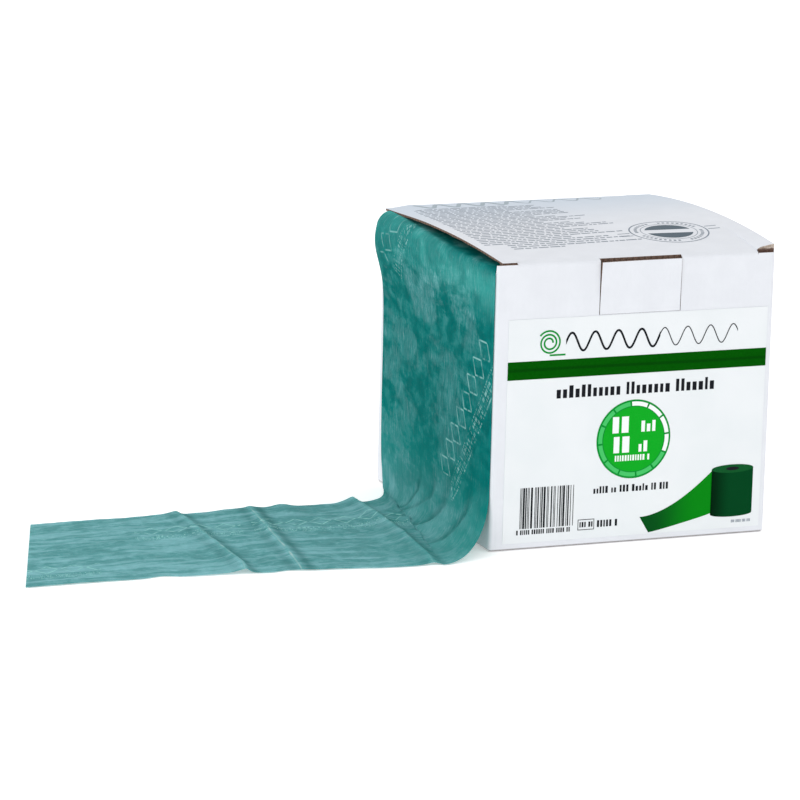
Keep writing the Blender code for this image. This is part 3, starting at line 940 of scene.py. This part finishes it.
def lock_tab():
    """The tab cut in the front wall: a soft crease along its lower edge, its free corner standing proud."""
    top = HEIGHT - TAB_SHOWS

    def proud(u, v):
        lean = 0.0006 * v + 0.0009 * (1 - u) ** 3 * v**2
        crease = 0.00022 * bell(v - 0.035, 0.022)
        warp = 0.00018 * math.sin(math.pi * u) * math.sin(math.pi * v)
        return lean + crease - warp

    def outer(u, v):
        return mix(TAB_LEFT + GAP, TAB_RIGHT - GAP, u), FRONT - proud(u, v), mix(TAB_BOTTOM + 0.0001, top, v)

    def inner(u, v):
        x, y, z = outer(u, v)
        return x, y + BOARD, z

    tab = slab("front_tab", grid(24, 40, outer), grid(24, 40, inner), [WHITE, KRAFT, RAW])
    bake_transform(tab)
    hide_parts("lock_tab")


def inner_flaps():
    """The bottom's inner flaps keep their shape and get the brown liner."""
    for node in ("bottom_left_flap", "bottom_right_flap", "bottom_tuck_flap"):
        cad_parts[node].material_slots[0].material = KRAFT


# ------------------------------------------------------------------------------------- the prints


def label():
    """The sticker on the front wall."""
    low, high = LABEL_LOW, LABEL_HIGH

    def at(y):
        return lambda u, v: (mix(low.x, high.x, u), y, mix(low.z, high.z, v))

    sticker = slab("label_sheet", grid(24, 20, at(low.y)), grid(24, 20, at(high.y)), [PAPER], "carton")
    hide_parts("front_label")


def title_print():
    """A generic mark and heading: a spiral for the roll, and a wavy line in place of the title."""
    centre, turns, steps, stroke = (-0.0414, 0.0931), 2.4, 72, 0.0008

    def at(k, outwards):
        angle, radius = 2 * math.pi * turns * k / steps, mix(0.0012, 0.0052, k / steps) + outwards
        return centre[0] + radius * math.cos(angle), centre[1] + radius * math.sin(angle)

    spiral = ribbon(at, range(steps + 1), stroke, 0.0)
    tail = [rectangle(centre[0] + 0.0002, centre[1] - 0.0060, centre[0] + 0.0078, centre[1] - 0.0052)]
    on_label("label_mark", spiral + tail, MID_GREEN)
    title = wave_line((-0.0335, 0.0120, 0.0500), (0.00095, 0.00045), 0.0930, 0.0041, 0.0112)
    on_label("label_title", title, BLACK)


def wave_line(ends, strokes, middle, height, period):
    """A wavy line as short pieces, with a stroke of its own in each stretch between its ends."""
    turn = 2 * math.pi / period

    def edge(x, stroke):
        slope = height * turn * math.cos(turn * (x - WAVE_START))
        return x, middle + height * math.sin(turn * (x - WAVE_START)) + stroke / 2 * math.hypot(1.0, slope)

    shapes = []
    for left, right, stroke in zip(ends, ends[1:], strokes):
        xs = spaced(left, right, round((right - left) / 0.0004))
        shapes += ribbon(edge, xs, -stroke, stroke)
    return shapes


def gauge_print(rng):
    """The green dial: a disc, a ring of segments with four of them white, and blocks for figures."""
    centre, radius = (0.0008, 0.0472), 0.0180
    on_label("gauge_disc", [oval(centre, radius, radius, 64)], MID_GREEN)
    light, white = [], []
    for k in range(12):
        start = 96 - 30 * k
        part = arc_band(centre, radius * 0.845, radius * 0.950, start - 1.5, start - 28.5, 8)
        (white if k < 4 else light).extend(part)
    on_label("gauge_face", [oval(centre, radius * 0.82, radius * 0.82, 64)], BRIGHT_GREEN, OVER)
    on_label("gauge_segments", light, LIGHT_GREEN, OVER)
    figures = blocks(-0.0096, 0.0038, 0.0503, 0.0074, rng, 1.0, (2, 3), 0.42)
    figures += blocks(0.0044, 0.0114, 0.0503, 0.0050, rng, 0.5, (3, 3))
    figures += blocks(-0.0088, 0.0026, 0.0412, 0.0074, rng, 1.0, (2, 3), 0.42)
    figures += blocks(0.0034, 0.0094, 0.0412, 0.0050, rng, 0.5, (2, 2))
    figures += blocks(-0.0080, 0.0096, 0.0374, 0.0026, rng, 1.0, (10, 12))
    on_label("gauge_figures", white + figures, WHITE_INK, OVER_AGAIN)


def bar_pattern(rng):
    """Upright bars of uneven widths, with a row of small blocks under them."""
    bars, x, right = [], -0.0530, -0.0268
    while x < right:
        width = rng.choice((0.0003, 0.0003, 0.0006, 0.0009))
        bars.append(rectangle(x, 0.0095, x + width, 0.0281))
        x += width + rng.choice((0.0003, 0.0004, 0.0007, 0.0010))
    return bars + blocks(-0.0545, -0.0275, 0.0068, 0.0021, rng, 1.0, (1, 6))


def picture_print():
    """The small picture of a standing roll with its band pulled out to the left."""
    left, right, low, top, dip = 0.0400, 0.0606, 0.0098, 0.0305, 0.0016
    middle, half = (left + right) / 2, (right - left) / 2
    under = [(middle - half * math.cos(a), low - dip * math.sin(a)) for a in spaced(0.0, math.pi, 24)]
    on_label("picture_roll", [under + [(right, top), (left, top)]], PICTURE_BODY)
    on_label("picture_cap", [oval((middle, top), half, 0.0019, 40)], PICTURE_CAP, OVER)
    on_label("picture_hole", [oval((middle, top), 0.0032, 0.0008, 24)], BLACK, OVER_AGAIN)
    on_label("picture_band", ribbon(picture_edge, spaced(0.0, 1.0, 20), True, False), PICTURE_BAND)


def picture_edge(t, lower):
    """The picture's band, from its tip to the roll: a point of its lower or its upper edge."""
    tip, root = ((0.0097, 0.0037), (0.0402, 0.0105)) if lower else ((0.0052, 0.0111), (0.0402, 0.0300))
    knee = 0.0022 if lower else 0.0040
    x = mix(tip[0], root[0], t)
    rise = t**2.0 if lower else t**1.55
    return x, mix(tip[1], root[1], rise) + knee * math.sin(math.pi * t) * (0.6 if lower else -0.2)


def label_print():
    """Everything printed on the sticker, with blocks where writing would be."""
    rng = random.Random(11)
    stripe = rectangle(LABEL_LOW.x, STRIPE_MIDDLE - STRIPE_HALF, LABEL_HIGH.x, STRIPE_MIDDLE + STRIPE_HALF)
    on_label("label_stripe", [stripe], STRIPE)
    title_print()
    lines = blocks(-0.0372, 0.0402, 0.0678, 0.0056, rng, 0.35, (8, 11))
    lines += blocks(-0.0178, 0.0187, 0.0233, 0.0032, rng, 0.45, (2, 5))
    lines += outline_of(-0.0249, 0.0070, -0.0169, 0.0119, 0.0003)
    lines += blocks(-0.0240, -0.0176, 0.0083, 0.0024, rng, 1.0, (3, 3))
    lines += blocks(-0.0155, -0.0043, 0.0079, 0.0031, rng, 1.0, (5, 5))
    on_label("label_lines", lines + bar_pattern(rng), BLACK)
    on_label("label_code", blocks(0.0506, 0.0612, 0.0054, 0.0013, rng, 1.0, (3, 6)), GREY_INK)
    gauge_print(rng)
    picture_print()


def cut_up(shape, longest):
    """A rectangle as shorter ones side by side, so that it can follow a curved surface."""
    (left, low), _, (right, high), _ = shape
    edges = spaced(left, right, max(1, math.ceil((right - left) / longest)))
    return [rectangle(a, low, b, high) for a, b in zip(edges, edges[1:])]


def lid_print():
    """The lid's print: rows of fine writing as short dashes, a large pale heading and a round seal."""
    rng = random.Random(5)
    dashes = []
    for row in range(31):
        y = 0.0500 - 0.0032 * row
        x = (-0.0600 if row < 28 else -0.0500) + rng.uniform(0.0, 0.0006)
        end = rng.uniform(-0.004, 0.014) if row % 5 else rng.uniform(-0.030, -0.010)
        while x < end:
            width = rng.uniform(0.0012, 0.0052)
            dashes += cut_up(rectangle(x, y, min(x + width, end + 0.001), y + 0.00105), 0.004)
            x += width + rng.uniform(0.0006, 0.0010)
    on_lid("lid_lines", dashes, GREY_INK)
    heading = wave_line((-0.0545, -0.0040, 0.0380), (0.0022, 0.0010), 0.0590, 0.0042, 0.0120)
    on_lid("lid_heading", heading, PALE_INK)
    seal()


def seal():
    """A plain round seal: two rings with ticks between them, a split disc and two ribbon ends."""
    centre, radius, ticks = SEAL_CENTRE, 0.0183, 44
    shapes = arc_band(centre, radius * 0.965, radius, 0, 360, 72)
    shapes += arc_band(centre, radius * 0.70, radius * 0.715, 0, 360, 60)
    for k in range(ticks):
        if k % 11 > 1:
            angle = 360 / ticks * k
            shapes += arc_band(centre, radius * 0.79, radius * 0.87, angle, angle + 4.2, 1)
    for side in (-1, 1):
        for lift in (-0.0022, 0.0022):
            x = centre[0] + side * radius * 1.04
            y = centre[1] + lift + side * 0.0012
            shapes.append(rectangle(x, y - 0.00035, x + side * 0.0058, y + 0.00035))
    on_lid("lid_seal", shapes, GREY_INK)
    halves = disc_part(centre, radius * 0.60, radius * 0.16, radius * 0.595, -8, 8)
    halves += disc_part(centre, radius * 0.60, -radius * 0.595, -radius * 0.16, -8, 8)
    on_lid("lid_seal_halves", halves, SLATE_INK)


# --------------------------------------------------------------------------------------- the band


def foot_radius(v):
    """The bend's radius at the foot of the wall, across the band from its nearer to its farther edge."""
    return mix(NEAR_FOOT, FAR_FOOT, v)


def straight(a, b):
    """The length of a straight line and its points."""
    return math.dist(a, b), lambda t: (mix(a[0], b[0], t), mix(a[1], b[1], t))


def bend(centre, radius, start, end):
    """The length of an arc from one angle to another, in degrees from +X towards +Z, and its points."""
    a, b = math.radians(start), math.radians(end)

    def point(t):
        angle = mix(a, b, t)
        return centre[0] + radius * math.cos(angle), centre[1] + radius * math.sin(angle)

    return radius * abs(b - a), point


def band_line(v):
    """The band's line from the roll to RUN_END, in six stretches of length, point function and columns."""
    top = SIDE_TOP + OFF_WALL + EDGE_ARCH * ease((v - 0.15) / 0.85)
    edge = mix(EDGE_RADIUS, FAR_EDGE_RADIUS, ease((v - 0.3) / 0.7))
    face = LEFT - OFF_WALL - mix(0.0003, 0.0010, ease(v / 0.2))
    foot, floor = foot_radius(v), BAND_THICKNESS
    wall = LEFT - OFF_WALL
    flap_tip = (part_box("left_dust_flap")[1].x + 0.001, top)
    off_roll = ROLL_RADIUS + OFF_WALL
    reach = math.hypot(flap_tip[0], flap_tip[1] - ROLL_Z)
    angle = math.atan2(flap_tip[1] - ROLL_Z, flap_tip[0]) - math.acos(off_roll / reach)
    leave = (off_roll * math.cos(angle), ROLL_Z + off_roll * math.sin(angle))
    low = (wall, floor + foot)
    return [
        (*straight(leave, flap_tip), 18),
        (*straight(flap_tip, (face + edge, top)), 22),
        (*bend((face + edge, top - edge), edge, 90, 180), 10),
        (*straight((face, top - edge), low), 96),
        (*bend((wall - foot, floor + foot), foot, 0, -90), 44),
        (*straight((wall - foot, floor), (RUN_END, floor)), 150),
    ]


def band_edges(stretch, t, x):
    """The two edges' Y on a stretch of the band's line, t of the way along it."""
    if stretch < 2:
        return ROLL_EDGES
    if stretch == 2:
        return tuple(mix(a, b, ease(t)) for a, b in zip(ROLL_EDGES, DROP_EDGES))
    if stretch == 3:
        return DROP_EDGES[0], DROP_EDGES[1] - END_TUCK * ease((t - 0.92) / 0.08)
    if stretch == 4:
        return mix(DROP_EDGES[0], FLOOR_EDGES[0], ease(t)), mix(DROP_EDGES[1] - END_TUCK, FOOT_FAR, t**1.5)
    return floor_edges(x)


def swerve(x, swerves):
    """How far an edge has moved towards +Y at its small swerves."""
    return sum(move * bell(x - at, reach) for at, move, reach in swerves)


def floor_edges(x):
    """The nearer and the farther edge's Y on the floor, with the small swerves at the wrinkles."""
    start = LEFT - OFF_WALL - NEAR_FOOT
    spread = min(max((x - SPREAD_END) / (start - SPREAD_END), 0.0), 1.0) ** 1.5
    near = mix(TIP_EDGES[0], FLOOR_EDGES[0], spread)
    gathered = max((LEFT - OFF_WALL - FAR_FOOT - x) / GATHER, 0.0)
    far = TIP_EDGES[1] + (FOOT_FAR - TIP_EDGES[1]) * math.exp(-(gathered**1.2))
    return near + swerve(x, NEAR_SWERVES), far + swerve(x, FAR_SWERVES)


def three_point(v, near, middle, far):
    """A smooth value across the band through its nearer edge, middle and farther edge."""
    return near * (1 - v) * (1 - 2 * v) + middle * 4 * v * (1 - v) + far * v * (2 * v - 1)


def floor_lift(x, v):
    """How far the band stands off the floor at its wrinkles, always at least a little."""
    lift = 0.0
    for crest_x, height, before, after, _ in CREASES:
        crest = three_point(v, *crest_x)
        away = x - crest
        width = before if away > 0 else after
        lift += max(three_point(v, *height), 0.0) * math.exp(-(abs(away) / width) ** 1.35)
    lift += 0.0014 * bell(x + 0.129, 0.006) * ease((v - 0.70) / 0.30)
    lift += 0.0009 * bell(x + 0.262, 0.020) * ease((0.15 - v) / 0.15)
    swell = uneven(x * 38.0, v * 2.6, 4.0)
    ripple = uneven(x * 150.0, v * 5.0, 9.0)
    lengthwise = uneven(x * 14.0, v * 15.0, 2.0)
    lift += 0.0007 * max(swell, 0.0) + 0.00022 * (ripple + 1) + 0.00030 * (lengthwise + 1)
    settle = ease((x - END_NEAR) / 0.05)
    return lift * mix(0.6, 1.0, settle) * (1 - 0.5 * bell(v, 0.03))


def crest_wear_and_shade(x, v):
    """How pale the talc is rubbed on a crest, with painted highlight, up to 1, and the painted shade beside
    it, down to -1.
    """
    wear_and_shade = 0.0
    for crest_x, _, _, _, strength in CREASES:
        away = x - three_point(v, *crest_x)
        broken = 0.75 + 0.7 * uneven(v * 13.0, crest_x[1] * 60.0, 3.0)
        # painted highlight with the rubbed talc on the crest, painted shade beside it
        wear_and_shade += strength * (broken * bell(away + 0.0005, 0.0007) - 0.55 * bell(away - 0.0035, 0.0022))
        wear_and_shade -= strength * 0.35 * bell(away + 0.0042, 0.0024)
    return wear_and_shade


def foot_folds(s, v, x):
    """Nested folds down the wall that swing to the farther edge on the floor: their lift, and their wear:
    rubbed talc with painted highlight on the crests, painted shade in the grooves.

    s is the distance along the band from the middle of its bend: up the wall below 0, on the floor above.
    """
    total, wear_and_shade, painted_groove_shade = 0.0, 0.0, 0.0
    fade = ease((x - three_point(v, *CREASES[-1][0]) - 0.003) / 0.013)
    for across, swing, width, height, above in FOLDS:
        wander = 0.045 * uneven(s * 60.0, across * 20.0, 8.0)
        middle = across + wander + swing * max(s + 0.006, 0.0) - 1.2 * max(-s - 0.006, 0.0)
        side = (v - middle) * BAND
        slope = width * (0.6 if side > 0 else 1.2)
        ragged = 0.8 + 0.5 * uneven(s * 90.0, across * 9.0, 5.0)
        envelope = ease((s + above) / (above - 0.004)) * fade * ragged
        total += height * envelope * math.exp(-((side / slope) ** 2))
        wear_and_shade = max(wear_and_shade, FOLD_WEAR_AND_SHADE * envelope * bell(side + width * 0.3, width * 0.9))
        # painted shade in the fold's groove
        painted_groove_shade = max(painted_groove_shade, FOLD_WEAR_AND_SHADE * envelope * bell(side - width * 1.1, width * 0.5))
    return total, wear_and_shade - 2.0 * painted_groove_shade


def wall_lift(z, v):
    """How far the hanging band stands off its smooth line."""
    puff = BULGE * ease(v) ** 2 * bell(z - BULGE_Z, BULGE_REACH)
    curtain = uneven(z * 9.0, v * 7.0, 1.0) + 0.5 * uneven(z * 22.0, v * 17.0, 6.0)
    loose = 0.00045 * (curtain + 1.0) * ease(v / 0.12)
    return puff + loose - 0.00022 * bell(v, 0.012)


def normals(points):
    """Unit normals of a grid of points, away from the wall and the floor."""
    du = np.gradient(points, axis=0)
    dv = np.gradient(points, axis=1)
    away = np.cross(dv, du)
    return away / np.maximum(np.linalg.norm(away, axis=2, keepdims=True), 1e-12)


def strip_piece(name, rows):
    """The rubber strip through rows of (point, lift off it, distance along the band, wear and painted
    shading).
    """
    points, lifts, distance, worn_and_shaded = (np.array([[cell[k] for cell in row] for row in rows]) for k in range(4))
    off = points + normals(points) * lifts[..., None]
    off[..., 2] = np.maximum(off[..., 2], BAND_THICKNESS)
    inner = off - normals(off) * BAND_THICKNESS
    inner[..., 2] = np.maximum(inner[..., 2], 0.00002)
    across = np.broadcast_to(np.linspace(0.0, 1.0, BAND_ROWS + 1), distance.shape)
    strip = slab(name, off, inner, [LATEX], None, np.stack([distance / STRIP_LENGTH, across], -1), 60.0)
    # wear and painted shading, read by the latex material
    wear_and_shade = strip.data.attributes.new("worn_and_shaded", "FLOAT", "POINT")
    wear_and_shade.data.foreach_set("value", np.tile(worn_and_shaded.astype(np.float32).ravel(), 2))
    return strip


def band_from_roll():
    """The band from the roll, under the lid, down the wall and along the floor to where it is parted."""
    rows = []
    for v in spaced(0.0, 1.0, BAND_ROWS):
        line, gone, row = band_line(v), 0.0, []
        lengths = [length for length, _, _ in line]
        to_floor, foot_middle = sum(lengths[:5]), sum(lengths[:4]) + lengths[4] / 2
        for stretch, (length, at, columns) in enumerate(line):
            for i in range(0 if stretch == 0 else 1, columns + 1):
                t = i / columns
                x, z = at(t)
                near, away = band_edges(stretch, t, x)
                along = gone + t * length
                mapped = FLOOR_AT + along - to_floor if stretch == 5 else along * FLOOR_AT / to_floor
                lift, wear_and_shade = band_relief(stretch, t, x, z, v, along - foot_middle)
                row.append(((x, mix(near, away, v), z), lift, mapped, wear_and_shade))
            gone += length
        rows.append(row)
    strip = strip_piece("band_strip", list(zip(*rows)))
    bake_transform(strip)
    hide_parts("band_lead", "band_drop", "band_run")


def band_relief(stretch, t, x, z, v, s):
    """How far the band stands off its smooth line on any of its stretches, and its wear and painted shading
    there.
    """
    if stretch < 2:
        return 0.0, 0.0
    if stretch == 2:
        return wall_lift(z, v) * t, 0.0
    fold, wear_and_shade = foot_folds(s, v, x)
    if stretch == 3:
        return wall_lift(z, v) * (1 - 0.5 * ease((t - 0.85) / 0.15)) + fold, wear_and_shade
    wear_and_shade += crest_wear_and_shade(x, v)
    if stretch == 4:
        return mix(wall_lift(z, v) * 0.5, floor_lift(x, v), ease(t)) + fold, wear_and_shade
    return floor_lift(x, v) + fold, wear_and_shade


def band_tip():
    """The free end, from where the strip is parted to its slanting cut."""
    rows = []
    for u in spaced(0.0, 1.0, 110):
        row = []
        for v in spaced(0.0, 1.0, BAND_ROWS):
            x = mix(RUN_END, mix(END_NEAR, END_FAR, v), u)
            near, away = floor_edges(x)
            distance = FLOOR_AT + (LEFT - OFF_WALL - foot_radius(v)) - x
            point = (x, mix(near, away, v), BAND_THICKNESS)
            row.append((point, floor_lift(x, v), distance, crest_wear_and_shade(x, v)))
        rows.append(row)
    tip = strip_piece("band_tip", rows)
    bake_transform(tip)
    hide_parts("band_end")


def roll():
    """The wound band, its turns' edges uneven at both ends, and its paper core."""
    rng = random.Random(3)
    low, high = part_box("band_roll")
    core_low, core_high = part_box("roll_core")
    outer = (core_high.x - core_low.x) / 2
    hollow = outer + CLEAR
    radii = spaced(ROLL_RADIUS - 0.0006, hollow + 0.0006, 46)
    near_end = [(r, low.y + rng.uniform(0.0001, 0.0007)) for r in radii]
    far_end = [(r, high.y - rng.uniform(0.0001, 0.0007)) for r in reversed(radii)]
    skin = [(ROLL_RADIUS, y) for y in spaced(high.y - 0.0008, low.y + 0.0008, 10)]
    bore = [(hollow, y) for y in spaced(low.y + 0.0008, high.y - 0.0008, 10)]
    wound = turned("wound_band", near_end + bore + far_end + skin, 128, [WOUND], "roll")
    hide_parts("band_roll")
    inner, bevel = outer - CORE_WALL, CORE_BEVEL
    section = [
        (outer - bevel, core_low.y),
        (inner + bevel, core_low.y),
        (inner, core_low.y + bevel),
        (inner, core_high.y - bevel),
        (inner + bevel, core_high.y),
        (outer - bevel, core_high.y),
        (outer, core_high.y - bevel),
        (outer, core_low.y + bevel),
    ]
    tube = turned("paper_core", section, 96, [PULP], "roll")
    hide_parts("roll_core")


# -------------------------------------------------------------------------------------- the stage


def camera():
    """Looks from the front left, a little above the carton, from two metres away."""
    azimuth, elevation, tilt = math.radians(-21.71), math.radians(12.74), math.radians(1.48)
    distance, aside, above, target = 2.0008, -0.0783, -0.0171, Vector((0, 0, 0.0673))
    back = Vector((
        math.sin(azimuth) * math.cos(elevation),
        -math.cos(azimuth) * math.cos(elevation),
        math.sin(elevation),
    ))
    right = (-back).cross(Vector((0, 0, 1))).normalized()
    up = right.cross(-back)
    side = right * math.cos(tilt) + up * math.sin(tilt)
    head = up * math.cos(tilt) - right * math.sin(tilt)
    data = bpy.data.cameras.new("camera")
    data.sensor_width, data.lens, data.clip_end = 36.0, 196.7, 50.0
    made = linked("camera", data)
    turn = Matrix((side, head, back)).transposed()
    place = target + back * distance + side * aside + head * above
    made.matrix_world = Matrix.Translation(place) @ turn.to_4x4()
    bpy.context.scene.camera = made


def area_light(name, place, target, size, power, colour=(1.0, 1.0, 1.0)):
    """A square lamp that faces its target."""
    data = bpy.data.lights.new(name, "AREA")
    data.size, data.energy, data.color = size, power, colour
    made = linked(name, data)
    made.location = place
    made.rotation_euler = (Vector(target) - Vector(place)).to_track_quat("-Z", "Y").to_euler()


def studio():
    """A white floor, a white room that is brighter overhead, and two soft lights."""
    bpy.ops.mesh.primitive_circle_add(vertices=96, radius=12.0, fill_type="NGON", location=(0, 0, -0.00015))
    floor = bpy.context.object
    floor.name = "floor"
    floor.data.materials.append(studio_white())
    world = bpy.data.worlds.new("room")
    bpy.context.scene.world = world
    world.use_nodes = True
    tree = world.node_tree
    where = tree.nodes.new("ShaderNodeTexCoord")
    split = tree.nodes.new("ShaderNodeSeparateXYZ")
    tree.links.new(where.outputs["Generated"], split.inputs[0])
    height = Value(tree, split.outputs[2]).ramp(0.15, 0.95)
    strength = height * (SKY_TOP - SKY_SIDE) + SKY_SIDE
    seen = Value(tree, tree.nodes.new("ShaderNodeLightPath").outputs["Is Camera Ray"])
    tree.links.new(strength.most(seen).source, tree.nodes["Background"].inputs["Strength"])
    tree.nodes["Background"].inputs["Color"].default_value = (*WORLD_TINT, 1.0)
    area_light("key", (0.9, -1.7, 1.1), (0, 0, 0.06), 1.0, KEY_POWER)
    area_light("side", (-1.7, -0.5, 0.9), (-0.08, 0, 0.05), 0.7, SIDE_POWER, (0.94, 0.98, 1.0))
    bpy.context.scene.view_settings.view_transform = "Standard"


# ----------------------------------------------------------------------------------- what is built

WHITE, KRAFT, RAW, TORN, PAPER = white_board(), kraft_board(), raw_edge(), torn_edge(), label_paper()
BLACK = ink("black_ink", srgb(24, 26, 32))
GREY_INK = ink("grey_ink", srgb(120, 130, 142), srgb(160, 168, 178))
SLATE_INK = ink("slate_ink", srgb(84, 98, 108), srgb(98, 110, 120))
PALE_INK = ink("pale_ink", srgb(158, 172, 180), srgb(186, 196, 204))
WHITE_INK = ink("white_ink", srgb(244, 248, 246))
MID_GREEN = ink("mid_green_ink", srgb(10, 142, 52))
BRIGHT_GREEN = ink("bright_green_ink", srgb(10, 168, 34))
LIGHT_GREEN = ink("light_green_ink", srgb(72, 196, 104))
STRIPE = stripe_ink()
PICTURE_BODY = picture_ink("picture_body_ink", 0.0400, 0.0500, srgb(0, 34, 12), srgb(2, 66, 30))
PICTURE_CAP = ink("picture_cap_ink", srgb(10, 84, 38))
PICTURE_BAND = picture_ink("picture_band_ink", 0.0100, 0.0340, srgb(6, 78, 26), srgb(8, 132, 20))
LATEX, WOUND, PULP = latex(), wound_latex(), core_pulp()

camera()
studio()
carton_sleeve()
carton_base()
lid_board()
lid_tuck()
dust_flap(-1, "left_dust_flap")
dust_flap(1, "right_dust_flap")
lock_tab()
inner_flaps()
label()
label_print()
lid_print()
roll()
band_from_roll()
band_tip()
